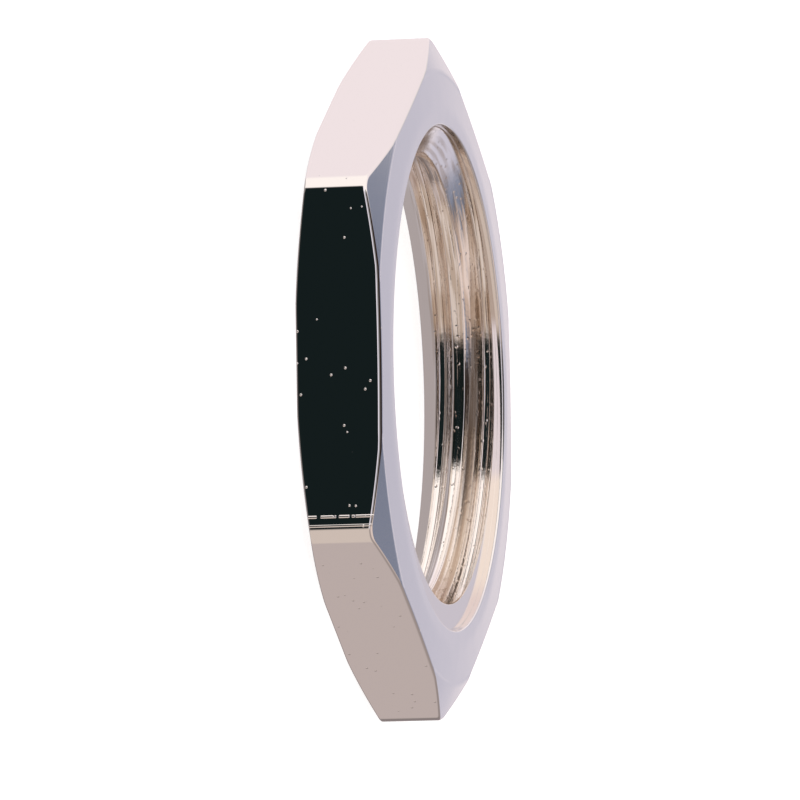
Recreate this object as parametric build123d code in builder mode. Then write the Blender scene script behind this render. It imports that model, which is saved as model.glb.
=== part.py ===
from build123d import *
from math import cos, radians, tan
import os

# Cable gland locknut: a flat hexagon nut with a fine-pitch threaded hole, turned from brass bar.
#
# Millimetres. The nut lies on its rear face: the origin is the centre of the hole on that face, +Z runs
# along the hole towards the front face, and two corners of the hexagon lie on the X axis.

os.makedirs("parts", exist_ok=True)

# Threaded hole, metric fine
thread_diameter = 16.0
thread_pitch = 1.5

# Hexagon. The wall is the metal between the thread's roots and the middle of a flat.
wall = 1.5
thickness = 2.76
corner_radius = 0.7

# Turned corner chamfers, each given by how far its face reaches past the flats and its angle to that face
front_face_reach = 0.3
front_chamfer_angle = 20.0
rear_face_reach = 0.1
rear_chamfer_angle = 15.0

# The front face is slightly crowned: from the chamfer's circle it rises this far to a flat land of this
# width round the hole.
front_crown = 0.1
front_land = 0.5

# The hole's openings, each given by how far past the thread's roots it reaches: a short counterbore in
# front, and a countersink at the rear with its angle to the axis
counterbore_reach = 0.03
counterbore_depth = 0.23
countersink_reach = 0.4
countersink_angle = 45.0

# The roots of the thread stand on its major diameter, the crests on its basic minor diameter.
root_radius = thread_diameter / 2
crest_radius = root_radius - 0.54127 * thread_pitch
# Half the width across the flats, and the radius that a sharp hexagon's corners would reach
flat_distance = root_radius + wall
corner_reach = flat_distance / cos(radians(30))


def countersink_depth(opening_radius):
    """Depth at which a countersink that opens this wide on its face has narrowed to the thread's crests."""
    return (opening_radius - crest_radius) / tan(radians(countersink_angle))


def corner_drop(face_radius, angle):
    """How far a chamfer that starts at this radius has fallen away from its face at the corner reach."""
    return (corner_reach - face_radius) * tan(radians(angle))


front_face_radius = flat_distance + front_face_reach
rear_face_radius = flat_distance + rear_face_reach
counterbore_radius = root_radius + counterbore_reach
countersink_radius = root_radius + countersink_reach
land_radius = counterbore_radius + front_land
front_circle_height = thickness - front_crown

with BuildPart() as locknut:
    # Length of hexagon bar with its drawn, slightly rounded corners
    with BuildSketch() as bar_section:
        RegularPolygon(flat_distance, 6, major_radius=False)
        fillet(bar_section.vertices(), corner_radius)
    extrude(amount=thickness)

    # Turned envelope: a flat rear face, a crowned front face, and shallow cones outside them
    with BuildSketch(Plane.XZ) as envelope_section:
        with BuildLine() as envelope_line:
            Polyline(
                (0, 0),
                (rear_face_radius, 0),
                (corner_reach, corner_drop(rear_face_radius, rear_chamfer_angle)),
                (corner_reach, front_circle_height - corner_drop(front_face_radius, front_chamfer_angle)),
                (front_face_radius, front_circle_height),
                (land_radius, thickness),
                (0, thickness),
                close=True,
            )
        make_face()
    revolve(axis=Axis.Z, mode=Mode.INTERSECT)

    # Hole at the thread's crests, with its counterbore in front and its countersink at the rear
    with BuildSketch(Plane.XZ) as hole_section:
        with BuildLine() as hole_line:
            Polyline(
                (0, 0),
                (countersink_radius, 0),
                (crest_radius, countersink_depth(countersink_radius)),
                (crest_radius, thickness - counterbore_depth),
                (counterbore_radius, thickness - counterbore_depth),
                (counterbore_radius, thickness),
                (0, thickness),
                close=True,
            )
        make_face()
    revolve(axis=Axis.Z, mode=Mode.SUBTRACT)

locknut.part.label = "locknut"
export_step(locknut.part, "parts/locknut.step")
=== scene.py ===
# %% [markdown]
# # A nickel-plated locknut, lit like a catalogue picture
#
# The object is the thin hexagonal nut that clamps a cable gland in the wall of a box. It is one piece of
# brass, turned, threaded and plated, and it lies on its rear face. We start by loading the nut as it was
# constructed. That model gives the true sizes, and everything below is fitted to it. Blender works in
# metres, so one named value turns millimetres into metres.

# %% Load the constructed nut
import math
import bpy
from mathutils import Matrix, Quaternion, Vector


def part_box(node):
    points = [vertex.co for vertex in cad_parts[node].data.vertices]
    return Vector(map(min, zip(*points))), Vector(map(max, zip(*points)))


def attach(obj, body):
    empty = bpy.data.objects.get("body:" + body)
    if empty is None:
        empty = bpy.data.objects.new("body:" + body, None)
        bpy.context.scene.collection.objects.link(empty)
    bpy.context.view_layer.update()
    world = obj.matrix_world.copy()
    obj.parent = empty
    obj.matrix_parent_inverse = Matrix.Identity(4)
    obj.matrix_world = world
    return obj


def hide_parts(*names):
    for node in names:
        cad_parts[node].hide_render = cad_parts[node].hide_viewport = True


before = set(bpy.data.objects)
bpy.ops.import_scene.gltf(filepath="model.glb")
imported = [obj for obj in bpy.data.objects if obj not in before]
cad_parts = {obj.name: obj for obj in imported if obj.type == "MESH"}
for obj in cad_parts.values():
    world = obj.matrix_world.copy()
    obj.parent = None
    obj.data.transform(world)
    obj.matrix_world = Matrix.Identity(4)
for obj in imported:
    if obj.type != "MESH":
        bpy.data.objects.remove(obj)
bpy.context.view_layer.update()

MM = 0.001
lowest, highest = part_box("locknut")
flat_distance = highest.y
thickness = highest.z - lowest.z
middle = Vector((0, 0, thickness / 2))
print(f"across flats {2 * flat_distance / MM:.2f} mm, thickness {thickness / MM:.2f} mm")

# %% [markdown]
# ## A small helper for node arithmetic
#
# Node trees are good at rules, but a long formula needs many Math nodes, and code that links them one by
# one is hard to read. So we wrap a node's output in a small class. Adding or multiplying two such values
# then makes the Math node and its links for us, and a formula in the script looks like a formula on paper.
# The same helper serves geometry, materials and the world, because all three use the same Math node.

# %% Values that are worked out by nodes
def feed(item, slot):
    """Links a value to a node's input, or writes a plain number or colour there."""
    if isinstance(item, Value):
        item.socket.id_data.links.new(item.socket, slot)
    else:
        slot.default_value = item


def compute(operation, *items):
    """Adds a Math node that does this operation on values and plain numbers, and returns its result."""
    tree = next(item.socket.id_data for item in items if isinstance(item, Value))
    node = tree.nodes.new("ShaderNodeMath")
    node.operation = operation
    for item, slot in zip(items, node.inputs):
        feed(item, slot)
    return Value(node.outputs[0])


class Value:
    """A number that nodes work out. Arithmetic with it adds Math nodes to its tree."""

    def __init__(self, socket):
        self.socket = socket

    def __add__(self, other):
        return compute("ADD", self, other)

    def __radd__(self, other):
        return compute("ADD", other, self)

    def __sub__(self, other):
        return compute("SUBTRACT", self, other)

    def __rsub__(self, other):
        return compute("SUBTRACT", other, self)

    def __mul__(self, other):
        return compute("MULTIPLY", self, other)

    def __rmul__(self, other):
        return compute("MULTIPLY", other, self)

    def __truediv__(self, other):
        return compute("DIVIDE", self, other)

    def __rtruediv__(self, other):
        return compute("DIVIDE", other, self)


# %% [markdown]
# ## The camera
#
# The photograph was taken from far away, almost in the plane of the nut: the line of sight rises only
# about 13 degrees above the faces. The nut lies down here, so the camera looks down on it by that angle
# and is rolled a quarter turn, which brings a corner of the hexagon to the top of the picture. A long
# lens from a long distance keeps the near and far sides almost the same size. We give the camera as a
# product photographer would say it: where it stands round the nut, how high, how rolled, and where it aims.

# %% Set up the camera
camera_azimuth = math.radians(94.08)
camera_elevation = math.radians(12.77)
camera_roll = math.radians(88.16)
camera_distance = 277.57 * MM
aim_left = 0.258 * MM
aim_below = 0.662 * MM
lens_length = 393.2

towards_camera = Vector((
    math.cos(camera_elevation) * math.cos(camera_azimuth),
    math.cos(camera_elevation) * math.sin(camera_azimuth),
    math.sin(camera_elevation),
))
level_camera = (-towards_camera).to_track_quat("-Z", "Y")
camera_turn = level_camera @ Quaternion((0, 0, 1), camera_roll)
aim = middle + camera_turn @ Vector((-aim_left, -aim_below, 0))

camera_data = bpy.data.cameras.new("camera")
camera_data.lens = lens_length
camera_data.sensor_width = 36
camera_data.clip_start = 10 * MM
camera = bpy.data.objects.new("camera", camera_data)
camera.rotation_mode = "QUATERNION"
camera.rotation_quaternion = camera_turn
camera.location = aim + camera_distance * towards_camera
bpy.context.scene.collection.objects.link(camera)
bpy.context.scene.camera = camera
bpy.context.scene.view_settings.view_transform = "Standard"
print(f"camera {camera_distance / MM:.0f} mm away, {math.degrees(camera_elevation):.1f} degrees up")

# %% [markdown]
# ## Three more helpers
#
# Materials and lights need soft borders and mixed colours again and again. A Map Range node makes a soft
# step, two steps make a window, and a Mix node blends two colours. Each gets a short name here, in the
# style of the class above.

# %% Soft steps, windows and mixed colours
def rise(value, start, end):
    """A soft step from 0 at start to 1 at end."""
    node = value.socket.id_data.nodes.new("ShaderNodeMapRange")
    node.interpolation_type = "SMOOTHSTEP"
    feed(value, node.inputs["Value"])
    node.inputs["From Min"].default_value = start
    node.inputs["From Max"].default_value = end
    return Value(node.outputs["Result"])


def window(value, opens, open_from, open_to, closes):
    """1 between the two middle places and 0 beyond the outer two, with soft borders."""
    return rise(value, opens, open_from) * (1 - rise(value, open_to, closes))


def mixed(share, first, second):
    """The first colour where share is 0 and the second where it is 1."""
    node = share.socket.id_data.nodes.new("ShaderNodeMix")
    node.data_type = "RGBA"
    feed(share, node.inputs["Factor"])
    for name, colour in (("A", first), ("B", second)):
        slot = next(s for s in node.inputs if s.name == name and s.type == "RGBA")
        feed(colour if isinstance(colour, Value) else (*colour, 1), slot)
    return Value(next(s for s in node.outputs if s.type == "RGBA"))


# %% [markdown]
# ## Three finishes on one plated nut
#
# One bath of nickel covers the whole nut, but what lies under it differs. The flats are the drawn surface
# of the bar, smooth as a mirror. The two faces and the chamfers were turned, so they are satin with fine
# rings. The thread was cut by a tap, and is a little rougher and warmer. We make three materials from one
# function, so that the metal is the same and only the surface changes. Each gets a bump, a height worked
# out from the place on the nut. It tilts the reflections and moves no point of the mesh.

# %% Make a nickel material
def nickel(name, colour, roughness):
    """A metal material with this colour and roughness, and the place on the nut as X, Y and Z values."""
    material = bpy.data.materials.new(name)
    material.use_nodes = True
    shader = material.node_tree.nodes["Principled BSDF"]
    shader.inputs["Metallic"].default_value = 1.0
    shader.inputs["Base Color"].default_value = colour
    shader.inputs["Roughness"].default_value = roughness
    coordinates = material.node_tree.nodes.new("ShaderNodeTexCoord")
    split = material.node_tree.nodes.new("ShaderNodeSeparateXYZ")
    material.node_tree.links.new(coordinates.outputs["Object"], split.inputs[0])
    return material, [Value(split.outputs[name]) for name in "XYZ"]


def bumped(material, height, depth):
    """Gives the material a bump, where a height of 1 stands this far out of the surface."""
    nodes = material.node_tree.nodes
    bump = nodes.new("ShaderNodeBump")
    bump.inputs["Distance"].default_value = depth
    feed(height, bump.inputs["Height"])
    feed(Value(bump.outputs[0]), nodes["Principled BSDF"].inputs["Normal"])


def place_of(x, y, z):
    """The three values, of which the last two may be plain numbers, as one vector."""
    join = x.socket.id_data.nodes.new("ShaderNodeCombineXYZ")
    for item, slot in zip((x, y, z), join.inputs):
        feed(item, slot)
    return Value(join.outputs[0])


# %% [markdown]
# ## Noise and grains
#
# Nearly all surface detail is one of two patterns. Noise is soft and has no end, and serves for lines and
# clouds. A Voronoi texture puts one point in each cell of space, and a small ball round each is a grain.
# We divide the place by the size of a cell, so a pattern's scale is written in millimetres.

# %% Patterns
def noise(place, detail=2.0):
    """Soft noise round 0.5 at a place, one cell to each unit."""
    node = place.socket.id_data.nodes.new("ShaderNodeTexNoise")
    node.inputs["Scale"].default_value = 1.0
    node.inputs["Detail"].default_value = detail
    feed(place, node.inputs["Vector"])
    return Value(node.outputs[0])


def grains(place, reach):
    """Small round grains, one to each unit cell of space: 1 at the middle of a grain and 0 outside it."""
    node = place.socket.id_data.nodes.new("ShaderNodeTexVoronoi")
    node.inputs["Scale"].default_value = 1.0
    feed(place, node.inputs["Vector"])
    return 1 - rise(Value(node.outputs["Distance"]), 0.3 * reach, reach)


def in_cells(x, y, z, across, along=None):
    """The place counted in cells this wide, which may have another length along the axis."""
    return place_of(x / across, y / across, z / (along or across))


def ridge(distance, place, core, reach):
    """A line at this place: 1 within its core, and 0 beyond its reach on either side."""
    return 1 - rise(compute("ABSOLUTE", distance - place), core, reach)


# %% [markdown]
# ## The drawn flats
#
# A flat is almost a perfect mirror, and shows it by its faults: faint lines from the drawing die along the
# bar, a few grains of dust under the plating, and a nick and a burr beside one corner. Grains are cells in
# space, and only those that the surface happens to cut appear on it, so they are scattered without a rule.
# The nick is broken into dashes by noise along the axis.

# %% Flats
BAR_NICKEL = (0.86, 0.82, 0.79, 1)
DRAWN_LINE_WIDTH, DRAWN_LINE_LENGTH = 0.22 * MM, 4.0 * MM
DUST_CELL, DUST_REACH = 0.42 * MM, 0.105
NICK_FROM_CORNER, NICK_CORE, NICK_REACH = 0.63 * MM, 0.012 * MM, 0.050 * MM
BURR_FROM_CORNER, BURR_CORE, BURR_REACH = 0.35 * MM, 0.010 * MM, 0.045 * MM
DASH_WIDTH, DASH_LENGTH = 1.0 * MM, 0.22 * MM
BAR_RELIEF = 0.020 * MM

bar_finish, (x, y, z) = nickel("nickel_on_bar", BAR_NICKEL, 0.04)
drawn_lines = noise(in_cells(x, y, z, DRAWN_LINE_WIDTH, DRAWN_LINE_LENGTH))
dust = grains(in_cells(x, y, z, DUST_CELL), DUST_REACH)
from_corner = x + flat_distance * math.tan(math.pi / 6)
on_one_flat = rise(y, flat_distance - 0.20 * MM, flat_distance - 0.12 * MM)
dashes = rise(noise(in_cells(x, y, z, DASH_WIDTH, DASH_LENGTH)), 0.36, 0.44)
nick = ridge(from_corner, NICK_FROM_CORNER, NICK_CORE, NICK_REACH) * on_one_flat * dashes
burr = ridge(from_corner, BURR_FROM_CORNER, BURR_CORE, BURR_REACH) * on_one_flat
bumped(bar_finish, drawn_lines * 0.02 + dust + nick + burr * 0.6, BAR_RELIEF)
print(len(bar_finish.node_tree.nodes), "nodes in the finish of the flats")

# %% [markdown]
# ## The turned faces
#
# The lathe tool leaves rings. Their height depends on the radius alone, so noise along one line, read at
# the distance from the axis, is all it takes. The tool that cut the chamfer pushed up a slight burr just
# inside its circle, and its two slopes make a bright line beside a dark one.

# %% Faces and chamfers
TURNED_NICKEL = (0.86, 0.83, 0.81, 1)
RING_WIDTH, CLOUD_CELL = 0.07 * MM, 0.9 * MM
CHAMFER_BURR_RADIUS, CHAMFER_BURR_REACH = 9.72 * MM, 0.09 * MM
TURNED_RELIEF = 0.0030 * MM

turned_finish, (x, y, z) = nickel("nickel_on_turning", TURNED_NICKEL, 0.20)
from_axis = compute("SQRT", x * x + y * y)
rings = noise(place_of(from_axis / RING_WIDTH, 0.0, 0.0))
clouds = noise(in_cells(x, y, z, CLOUD_CELL))
chamfer_burr = ridge(from_axis, CHAMFER_BURR_RADIUS, 0.0, CHAMFER_BURR_REACH)
bumped(turned_finish, rings + clouds * 2.0 + chamfer_burr * 2.4, TURNED_RELIEF)
print(len(turned_finish.node_tree.nodes), "nodes in the finish of the faces")

# %% [markdown]
# ## The tapped thread
#
# A tap tears the metal a little as it cuts, and the tears run along the thread. So we work out where a
# point lies across the thread: its depth in pitches, less the share of a turn at its angle. Read round a
# circle, that number gives noise which closes on itself after each pitch. The same lines tilt the surface
# and stain it, and some larger grains on the flanks add the sparkle that a cut thread has. The cone at the
# rear and the counterbore in front were turned, so the tears stop there, in a window along the axis.

# %% Thread
THREAD_NICKEL = (0.84, 0.77, 0.70, 1)
THREAD_PITCH = 1.5 * MM
TEARS_ROUND = 2.3
TEAR_LENGTH_X, TEAR_LENGTH_Y = 3.1 * MM, 2.2 * MM
TORN_CELL, CHIP_CELL, CHIP_REACH = 0.12 * MM, 0.30 * MM, 0.22
STAINED, CLEAN = (0.68, 0.59, 0.51), (0.95, 0.90, 0.86)
THREAD_RELIEF = 0.012 * MM

thread_finish, (x, y, z) = nickel("nickel_on_thread", THREAD_NICKEL, 0.09)
across_thread = (z / THREAD_PITCH - compute("ARCTAN2", y, x) / math.tau) * math.tau
tears = noise(place_of(
    compute("COSINE", across_thread) * TEARS_ROUND,
    compute("SINE", across_thread) * TEARS_ROUND,
    y / TEAR_LENGTH_Y + x / TEAR_LENGTH_X,
), 1.0)
on_thread = window(z, 0.40 * MM, 0.58 * MM, 2.48 * MM, 2.52 * MM)
tears = (tears - 0.5) * on_thread + 0.5
torn = noise(in_cells(x, y, z, TORN_CELL), 3.0) * on_thread
chips = grains(in_cells(x, y, z, CHIP_CELL), CHIP_REACH) * on_thread
bumped(thread_finish, tears * 1.1 + torn * 0.22 + chips * 0.5, THREAD_RELIEF)
stain = mixed(rise(tears, 0.36, 0.60), STAINED, CLEAN)
feed(stain, thread_finish.node_tree.nodes["Principled BSDF"].inputs["Base Color"])
print(len(thread_finish.node_tree.nodes), "nodes in the finish of the thread")

# %% [markdown]
# ## The shape as a rule
#
# Every point of the nut follows from two numbers: its angle round the hole and how far along the section
# it lies. That is a job for Geometry Nodes. The tree gets the nut's sizes as named inputs, which a
# modifier sets once further down. We add the inputs through a small function that remembers each socket's
# identifier, because a modifier's input is set by that identifier.

# %% Name the sizes of the nut
tree = bpy.data.node_groups.new("locknut_shape", "GeometryNodeTree")
group_input = tree.nodes.new("NodeGroupInput")
settings = {}


def size(name, amount):
    """Adds a named input to the tree and returns it as a value for the formulas."""
    socket = tree.interface.new_socket(name=name, in_out="INPUT", socket_type="NodeSocketFloat")
    settings[socket.identifier] = amount
    return Value(group_input.outputs[name])


flat = size("Flat Distance", flat_distance)
height = size("Thickness", thickness)
corner = size("Corner Radius", 0.7 * MM)
front_face = size("Front Face Radius", 9.8 * MM)
front_lean = size("Front Chamfer Angle", math.radians(20))
front_crown = size("Front Crown", 0.1 * MM)
front_land = size("Front Land", 0.5 * MM)
rear_face = size("Rear Face Radius", 9.6 * MM)
rear_lean = size("Rear Chamfer Angle", math.radians(15))
crest_radius = size("Thread Crest Radius", 7.188 * MM)
root_radius = size("Thread Root Radius", 8.0 * MM)
pitch = size("Thread Pitch", THREAD_PITCH)
phase = size("Thread Phase", 0.217)
counterbore = size("Counterbore Radius", 8.03 * MM)
counterbore_depth = size("Counterbore Depth", 0.23 * MM)
rear_opening = size("Rear Opening Radius", 8.4 * MM)
front_edge = size("Front Edge Rounding", 0.13 * MM)
rear_edge = size("Rear Edge Rounding", 0.06 * MM)
rim = size("Rim Rounding", 0.07 * MM)
columns = size("Columns", 360)
print(len(settings), "sizes drive the nut")

# %% [markdown]
# ## Section rules
#
# Now the formulas. The hexagon's radius is worked out at each angle from the nearest corner, with a true
# arc where the corner is rounded. The bore's radius is the larger of two things: the thread, and the cone
# of the countersink at the rear. A thread is a wave along the depth that shifts by one pitch each turn.
# Blender's smooth maximum rounds each place where two rules meet, as a real tool and plating would.

# %% Hexagon and bore
SIXTH = math.pi / 3
COUNTERSINK = math.radians(45)
CREST_SOFTNESS = 0.05 * MM
ROOT_SOFTNESS = 0.05 * MM
CONE_SOFTNESS = 0.05 * MM


def hexagon_radius(angle):
    """Distance from the axis to the hexagon's side at this angle, with rounded corners on the X axis."""
    from_corner = compute("PINGPONG", angle, SIXTH / 2)
    side = flat / compute("COSINE", SIXTH / 2 - from_corner)
    centre = (flat - corner) / math.cos(SIXTH / 2)
    reach = compute("POWER", corner, 2.0) - compute("POWER", centre * compute("SINE", from_corner), 2.0)
    arc = centre * compute("COSINE", from_corner) + compute("SQRT", compute("MAXIMUM", reach, 0.0))
    tangent = compute("ARCTAN2", corner * 0.5, centre + corner * math.cos(SIXTH / 2))
    on_arc = compute("LESS_THAN", from_corner, tangent)
    return arc * on_arc + side * (1 - on_arc)


def bore_radius(angle, depth):
    """Distance from the axis to the threaded wall at this angle and height above the rear face."""
    turns = depth / pitch - angle / math.tau - phase
    from_crest = compute("PINGPONG", turns, 0.5) * pitch
    flank = crest_radius + (from_crest - pitch / 8) * math.tan(math.radians(60))
    thread = compute("SMOOTH_MAX", flank, crest_radius, CREST_SOFTNESS)
    thread = compute("SMOOTH_MIN", thread, root_radius, ROOT_SOFTNESS)
    rear_cone = rear_opening - depth * math.tan(COUNTERSINK)
    return compute("SMOOTH_MAX", thread, rear_cone, CONE_SOFTNESS)


# %% [markdown]
# ## Bands round the nut
#
# We cut the section into bands: the bore, a rim, a face, a chamfer, an edge, a flat, and so back on the
# other side. Each band is a grid whose long side is wrapped round the axis and whose short side is laid
# along its stretch of the section. The columns crowd together near the six corners, where the outline
# turns sharply. The rows crowd at both ends of a band, so that a smooth-shaded flat stays optically flat
# right up to its rounded edge. Where bands meet they share the same points, and a merge closes them.

# %% Wrap a band
COLUMN_CROWDING = 0.8
ROW_CROWDING = 0.95


def crowded(share):
    """Moves evenly spaced shares from 0 to 1 towards both ends."""
    return share - compute("SINE", share * math.tau) * (ROW_CROWDING / math.tau)


def band(finish, rows, section, inwards=False):
    """A closed ring of faces, where section gives the radius and height at a share across and an angle.

    The bands follow each other round the section one way, so a rule that is written the other way is read
    inwards, from its end to its start. Then all faces point outwards.
    """
    grid = tree.nodes.new("GeometryNodeMeshGrid")
    grid.inputs["Size X"].default_value = 1.0
    grid.inputs["Size Y"].default_value = 1.0
    feed(columns + 1, grid.inputs["Vertices X"])
    grid.inputs["Vertices Y"].default_value = rows + 1
    place = tree.nodes.new("GeometryNodeInputPosition")
    split = tree.nodes.new("ShaderNodeSeparateXYZ")
    tree.links.new(place.outputs[0], split.inputs[0])
    around = Value(split.outputs["X"]) + 0.5
    across = 0.5 - Value(split.outputs["Y"]) if inwards else Value(split.outputs["Y"]) + 0.5
    angle = around * math.tau - compute("SINE", around * (6 * math.tau)) * (COLUMN_CROWDING / 6)
    radius, level = section(across, angle)
    point = tree.nodes.new("ShaderNodeCombineXYZ")
    feed(radius * compute("COSINE", angle), point.inputs["X"])
    feed(radius * compute("SINE", angle), point.inputs["Y"])
    feed(level, point.inputs["Z"])
    move = tree.nodes.new("GeometryNodeSetPosition")
    tree.links.new(grid.outputs["Mesh"], move.inputs["Geometry"])
    tree.links.new(point.outputs[0], move.inputs["Position"])
    mark = tree.nodes.new("GeometryNodeStoreNamedAttribute")
    mark.data_type = "INT"
    mark.domain = "FACE"
    mark.inputs["Name"].default_value = "finish"
    mark.inputs["Value"].default_value = finish
    tree.links.new(move.outputs[0], mark.inputs["Geometry"])
    return mark.outputs[0]


# %% [markdown]
# ## The bore and its rims
#
# The bore band runs from just inside the rear rim up to the floor of the counterbore, the short step in
# front. The floor is a flat ring whose inner side follows the thread, so it is widest where a crest runs
# out. The wall of the step stands on it. Floor and wall meet square, and such a corner throws light back
# to where it came from: it shows the room round the camera as a thin pale line. Each rim is a small arc
# that turns from the wall to the face. A sharp rim would be a line with no light on it, while the real one
# catches a thin highlight.

# %% Bore and rim bands
BAR, TURNED, THREAD = 0, 1, 2
bore_start = rim * (1 - math.sin(COUNTERSINK))
bore_floor = height - counterbore_depth


def bore_section(across, angle):
    depth = bore_start + across * (bore_floor - bore_start)
    return bore_radius(angle, depth), depth


def floor_section(across, angle):
    inner = bore_radius(angle, bore_floor)
    return inner + crowded(across) * (counterbore - inner), bore_floor


def wall_section(across, angle):
    return counterbore, bore_floor + crowded(across) * (counterbore_depth - rim)


def front_rim_section(across, angle):
    lean = across * (math.pi / 2)
    return counterbore + rim * (1 - compute("COSINE", lean)), height - rim * (1 - compute("SINE", lean))


def rear_rim_section(across, angle):
    lean = COUNTERSINK + across * (math.pi / 2 - COUNTERSINK)
    radius = bore_radius(angle, bore_start) + rim * (math.cos(COUNTERSINK) - compute("COSINE", lean))
    return radius, rim * (1 - compute("SINE", lean))


def front_rim_radius(angle):
    """Where the front rim's arc meets the face."""
    return counterbore + rim


def rear_rim_radius(angle):
    """Where the rear rim's arc meets the face."""
    return bore_radius(angle, bore_start) + rim * math.cos(COUNTERSINK)


bands = [
    band(THREAD, 180, bore_section),
    band(THREAD, 6, floor_section),
    band(THREAD, 6, wall_section),
    band(TURNED, 5, front_rim_section),
    band(TURNED, 4, rear_rim_section, inwards=True),
]
print(len(bands), "bands make the bore")

# %% [markdown]
# ## Faces, chamfers, edges and flats
#
# Each face is flat inside its chamfer circle and falls away as a shallow cone outside it. The cone only
# exists near the corners, since in the middle of a flat the hexagon lies inside the circle. That is what
# draws the curved chamfer line so typical of a nut. The front face is slightly crowned besides: from the
# chamfer's circle it climbs a tenth of a millimetre to a flat land round the hole. The outer edge is an
# arc again, from the lean of the chamfer to the upright flat. One function makes these bands for both
# sides: on the rear, the heights are measured up from zero instead of down from the front.

# %% Outer bands
CHAMFER_SOFTNESS = 0.04 * MM
NARROWEST_CHAMFER = 0.03 * MM
CROWN_SOFTNESS = 0.1


def side_rules(face_level, side, face_radius, lean, rim_radius, edge):
    """The section rules of one side of the nut, whose face level is itself a rule of the radius."""
    def level_at(radius):
        beyond = compute("SMOOTH_MAX", radius - face_radius, 0.0, CHAMFER_SOFTNESS)
        return face_level(radius) - side * beyond * compute("TANGENT", lean)

    def edge_start(angle):
        hexagon = hexagon_radius(angle)
        beyond = (hexagon - face_radius) / CHAMFER_SOFTNESS
        lean_here = lean * compute("MINIMUM", compute("MAXIMUM", beyond, 0.0), 1.0)
        radius = hexagon - edge * (1 - compute("SINE", lean_here))
        return hexagon, lean_here, radius, level_at(radius)

    def face_end(angle):
        radius = edge_start(angle)[2]
        return compute("MINIMUM", radius - NARROWEST_CHAMFER, face_radius)

    def face_section(across, angle):
        inner = rim_radius(angle)
        radius = inner + crowded(across) * (face_end(angle) - inner)
        return radius, level_at(radius)

    def chamfer_section(across, angle):
        inner = face_end(angle)
        radius = inner + crowded(across) * (edge_start(angle)[2] - inner)
        return radius, level_at(radius)

    def edge_section(across, angle):
        hexagon, lean_here, _, start_level = edge_start(angle)
        turn = lean_here + across * (math.pi / 2 - lean_here)
        radius = hexagon - edge * (1 - compute("SINE", turn))
        level = start_level - side * edge * (compute("COSINE", lean_here) - compute("COSINE", turn))
        return radius, level

    def flat_end(angle):
        _, lean_here, _, start_level = edge_start(angle)
        return start_level - side * edge * compute("COSINE", lean_here)

    return face_section, chamfer_section, edge_section, flat_end


def crowned(radius):
    """Level of the front face, which falls slowly from the land to the chamfer's circle and no further."""
    land_radius = counterbore + front_land
    share = (radius - land_radius) / (front_face - land_radius)
    share = compute("SMOOTH_MIN", compute("SMOOTH_MAX", share, 0.0, CROWN_SOFTNESS), 1.0, CROWN_SOFTNESS)
    return height - share * front_crown


front_rules = side_rules(crowned, 1, front_face, front_lean, front_rim_radius, front_edge)
rear_rules = side_rules(lambda radius: 0.0, -1, rear_face, rear_lean, rear_rim_radius, rear_edge)


def flat_section(across, angle):
    front_end = front_rules[3](angle)
    return hexagon_radius(angle), front_end + crowded(across) * (rear_rules[3](angle) - front_end)


for rules, inwards in ((front_rules, False), (rear_rules, True)):
    face_section, chamfer_section, edge_section, _ = rules
    bands.append(band(TURNED, 16, face_section, inwards))
    bands.append(band(TURNED, 8, chamfer_section, inwards))
    bands.append(band(BAR, 5, edge_section, inwards))
bands.append(band(BAR, 10, flat_section))
print(len(bands), "bands make the whole nut")

# %% [markdown]
# ## Closing the tree
#
# The bands are joined, merged where they touch, and shaded smooth. Each band carries a whole number that
# says which finish it has, and three Set Material nodes at the end read it. The tree ends as plain,
# realised geometry with its materials set.

# %% Join, merge and give materials
MERGE_DISTANCE = 0.001 * MM


def chain(kind, source):
    """Adds a node that takes this geometry and returns the node."""
    node = tree.nodes.new(kind)
    tree.links.new(source, node.inputs["Geometry"])
    return node


join = tree.nodes.new("GeometryNodeJoinGeometry")
for piece in bands:
    tree.links.new(piece, join.inputs[0])
merge = chain("GeometryNodeMergeByDistance", join.outputs[0])
merge.inputs["Distance"].default_value = MERGE_DISTANCE
smooth = chain("GeometryNodeSetShadeSmooth", merge.outputs[0])
realised = chain("GeometryNodeRealizeInstances", smooth.outputs[0])
base_coat = chain("GeometryNodeSetMaterial", realised.outputs[0])
base_coat.inputs["Material"].default_value = bar_finish
painted = base_coat.outputs[0]
for number, material in ((TURNED, turned_finish), (THREAD, thread_finish)):
    stored = tree.nodes.new("GeometryNodeInputNamedAttribute")
    stored.data_type = "INT"
    stored.inputs["Name"].default_value = "finish"
    paint = chain("GeometryNodeSetMaterial", painted)
    feed(compute("COMPARE", Value(stored.outputs["Attribute"]), number, 0.5), paint.inputs["Selection"])
    paint.inputs["Material"].default_value = material
    painted = paint.outputs[0]
tree.interface.new_socket(name="Geometry", in_out="OUTPUT", socket_type="NodeSocketGeometry")
group_output = tree.nodes.new("NodeGroupOutput")
tree.links.new(painted, group_output.inputs["Geometry"])
print(len(tree.nodes), "nodes in the tree")

# %% [markdown]
# ## Making the mesh
#
# We hang the tree on an object, set each input by its identifier, let Blender work it out once, and keep
# the result as a plain mesh. A plain mesh is what a game engine or a printer can take, and it can no
# longer change by accident. The first of its material slots is empty, since the tree adds its materials
# after it, so we take that slot out. A short test counts open edges and measures the volume, because a
# closed shell with its faces outwards has no open edge and a volume above zero.

# %% Build the nut
import bmesh

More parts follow.
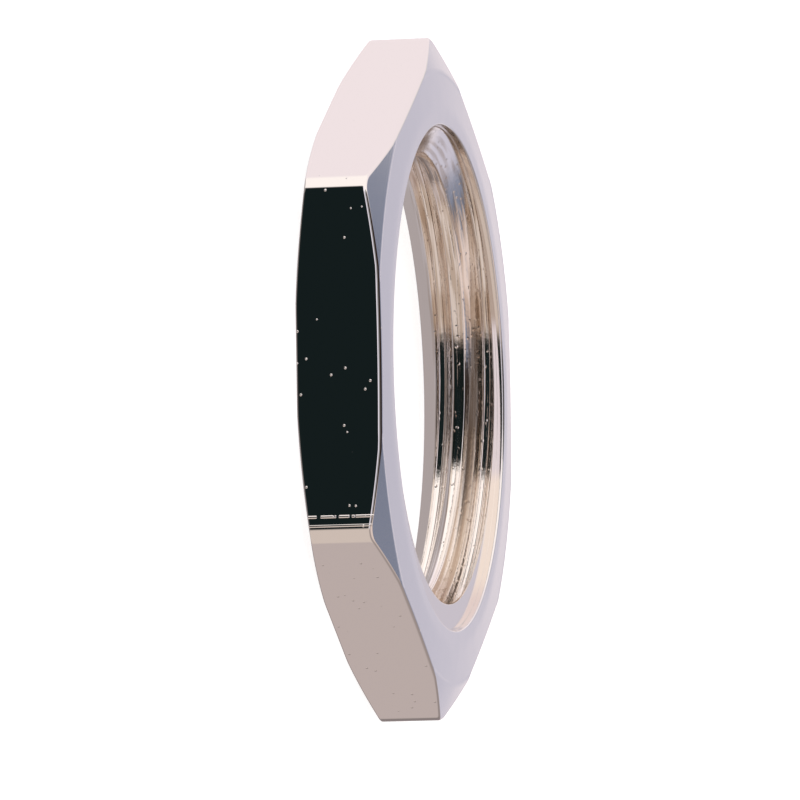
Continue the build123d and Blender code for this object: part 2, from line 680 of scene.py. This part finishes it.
nut = bpy.data.objects.new("nut", bpy.data.meshes.new("nut"))
bpy.context.scene.collection.objects.link(nut)
modifier = nut.modifiers.new("shape", "NODES")
modifier.node_group = tree
for identifier, amount in settings.items():
    modifier[identifier] = float(amount)
worked_out = nut.evaluated_get(bpy.context.evaluated_depsgraph_get())
mesh = bpy.data.meshes.new_from_object(worked_out)
nut.modifiers.clear()
nut.data = mesh
mesh.materials.pop(index=0)
print("materials:", [material.name for material in mesh.materials])

check = bmesh.new()
check.from_mesh(mesh)
if check.calc_volume(signed=True) < 0:
    bmesh.ops.reverse_faces(check, faces=check.faces)
    check.to_mesh(mesh)
open_edges = sum(1 for one_edge in check.edges if not one_edge.is_manifold)
volume = check.calc_volume(signed=True)
check.free()
triangles = sum(len(face.vertices) - 2 for face in mesh.polygons)
print(f"{triangles} triangles, {open_edges} open edges, volume {volume / MM ** 3:.1f} cubic mm")

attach(nut, "root")
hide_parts("locknut")

# %% [markdown]
# ## The studio as the metal sees it
#
# A mirror has no colour of its own: it shows what stands round it. The photograph tells us what that was,
# because each part of the nut mirrors another direction. So we paint the studio into the world by
# direction, with soft borders. X points past the upper flat in the picture, Y towards the camera and Z up.
# The arch is the angle in degrees that rises from the camera's side over the top to the back.

# %% Directions in the world
world = bpy.data.worlds.new("studio")
bpy.context.scene.world = world
world.use_nodes = True
sky = world.node_tree
direction = sky.nodes.new("ShaderNodeTexCoord")
parts = sky.nodes.new("ShaderNodeSeparateXYZ")
sky.links.new(direction.outputs["Generated"], parts.inputs[0])
x, y, z = (Value(parts.outputs[name]) for name in "XYZ")
arch = compute("ARCTAN2", z, y) * (180 / math.pi)
print(len(sky.nodes), "nodes find the direction")

# %% [markdown]
# ## Backdrop and room
#
# Behind the nut hangs a lilac-grey backdrop that is palest at its foot and darkens upwards, and the front
# face mirrors it. The table below is grey. On the camera's side the room is a plain middle grey.

# %% Backdrop and room
TABLE_GREY = (0.47, 0.435, 0.455)
BACKDROP_FOOT = (0.86, 0.79, 0.84)
BACKDROP = (0.60, 0.585, 0.69)
BACKDROP_TOP = (0.21, 0.24, 0.33)
TABLE_SHADE = (0.22, 0.20, 0.20)
ROOM_GREY = (0.36, 0.35, 0.37)

behind = mixed(rise(z, -0.25, 0.0), TABLE_GREY, BACKDROP_FOOT)
behind = mixed(rise(z, 0.08, 0.26), behind, BACKDROP)
behind = mixed(rise(z, 0.43, 0.62), behind, BACKDROP_TOP)
before = mixed(rise(z, -0.10, 0.15), TABLE_SHADE, ROOM_GREY)
studio = mixed(rise(y, -0.15, 0.10), behind, before)
print(len(sky.nodes), "nodes with the backdrop and the room")

# %% [markdown]
# ## The card past the lower flat
#
# A warm card stands on this side. It is cream where it comes nearest the camera and dim at its far end,
# and it leans over the nut: high up it turns tan and its border moves in, which the thread shows.

# %% Warm card
WARM_CARD = (0.56, 0.485, 0.475)
CREAM_END = (0.70, 0.61, 0.56)
DIM_END = (0.27, 0.235, 0.235)
WARM_CARD_TOP = (0.36, 0.31, 0.30)
TAN_CARD = (0.80, 0.67, 0.62)

warm_side = mixed(rise(y, -0.62, -0.50), DIM_END, WARM_CARD)
warm_side = mixed(rise(y, -0.36, -0.18), warm_side, CREAM_END)
warm_side = mixed(rise(z, 0.0, 0.5), warm_side, WARM_CARD_TOP)
warm_side = mixed(rise(z, 0.58, 0.85), warm_side, TAN_CARD)
warm_lean = compute("MAXIMUM", z - 0.62, 0.0) * 0.75
studio = mixed(rise(warm_lean - x, 0.31, 0.41), studio, warm_side)
print(len(sky.nodes), "nodes with the warm card")

# %% [markdown]
# ## The card past the upper flat
#
# A white card stands opposite, faintly rose towards the back, with a greyer upper edge there. It leans
# over the nut a little too, and stops short of the floor.

# %% White card
WHITE_CARD = (1.16, 1.10, 1.08)
ROSE_END = (1.00, 0.91, 0.95)
GREY_EDGE = (0.78, 0.75, 0.76)

white_side = mixed(rise(y, -0.55, -0.15), ROSE_END, WHITE_CARD)
grey_edge = (1 - rise(x, 0.45, 0.60)) * (1 - rise(y, -0.66, -0.56)) * rise(z, 0.20, 0.32)
white_side = mixed(grey_edge, white_side, GREY_EDGE)
white_lean = compute("MAXIMUM", z - 0.70, 0.0) * 0.4
on_white_card = rise(white_lean + x, 0.28, 0.40) * rise(z, -0.72, -0.48)
studio = mixed(on_white_card, studio, white_side)
print(len(sky.nodes), "nodes with the white card")

# %% [markdown]
# ## The dark of the studio
#
# A mirror looks black where nothing is lit. The dark below the camera makes the middle flat almost black,
# and the dark overhead does the same to the thread's flanks. Between them, round the camera itself, runs
# a bright strip. Each is a window in X and in the arch. The ceiling's window narrows towards the back, so
# its two borders move in by a little with each degree of the arch.

# %% Dark windows and the bright strip
DARK_ROOM = (0.008, 0.014, 0.015)
DARK_CEILING = (0.035, 0.025, 0.020)
CAMERA_STRIP = (0.98, 0.96, 1.10)
UPPER_MOVE, LOWER_MOVE = 0.0038, 0.0031

low_dark = window(x, -0.48, -0.28, 0.61, 0.71) * window(arch, -40.0, -30.0, 0.0, 8.0)
studio = mixed(low_dark, studio, DARK_ROOM)
upper_border = 1 - rise(x + arch * UPPER_MOVE, 0.65, 0.71)
lower_border = rise(x - arch * LOWER_MOVE, -0.46, -0.36)
high_dark = upper_border * lower_border * window(arch, 50.0, 60.0, 116.0, 130.0)
studio = mixed(high_dark, studio, DARK_CEILING)
strip = window(x, -0.54, -0.40, 0.61, 0.71) * window(arch, 6.0, 10.0, 20.0, 28.0)
studio = mixed(strip, studio, CAMERA_STRIP)
print(len(sky.nodes), "nodes with the dark and the strip")

# %% [markdown]
# ## Plain white for the camera
#
# The camera looks past the nut at a plain white ground. The Light Path node tells rays that come straight
# from the camera from all others, so they get white and the metal still gets the studio.

# %% White ground
WHITE = (1, 1, 1)
path = sky.nodes.new("ShaderNodeLightPath")
studio = mixed(Value(path.outputs["Is Camera Ray"]), studio, WHITE)
feed(studio, sky.nodes["Background"].inputs["Color"])
print(len(sky.nodes), "nodes in the whole world")

# %% [markdown]
# ## The floor
#
# The picture stands on pure white, so the floor glows a little for the camera only, and takes the rest of
# its white from the light. Where the nut shades it, a faint shadow stays. The metal doesn't see the
# floor, because the real flats mirror the studio all the way down.

# %% Lay the floor
FLOOR_REACH = 3.0
FLOOR_GLOW = 0.75
PAPER = (0.85, 0.85, 0.85, 1)
floor_mesh = bpy.data.meshes.new("floor")
corners = [(sx * FLOOR_REACH, sy * FLOOR_REACH, 0) for sx, sy in ((-1, -1), (1, -1), (1, 1), (-1, 1))]
floor_mesh.from_pydata(corners, [], [(0, 1, 2, 3)])
floor = bpy.data.objects.new("floor", floor_mesh)
bpy.context.scene.collection.objects.link(floor)
floor.visible_glossy = False
paper = bpy.data.materials.new("white_paper")
paper.use_nodes = True
paper_shader = paper.node_tree.nodes["Principled BSDF"]
paper_shader.inputs["Base Color"].default_value = PAPER
paper_shader.inputs["Roughness"].default_value = 1.0
paper_shader.inputs["Emission Color"].default_value = (1, 1, 1, 1)
paper_path = paper.node_tree.nodes.new("ShaderNodeLightPath")
feed(Value(paper_path.outputs["Is Camera Ray"]) * FLOOR_GLOW, paper_shader.inputs["Emission Strength"])
floor_mesh.materials.append(paper)
print(f"floor {2 * FLOOR_REACH:.0f} m wide")
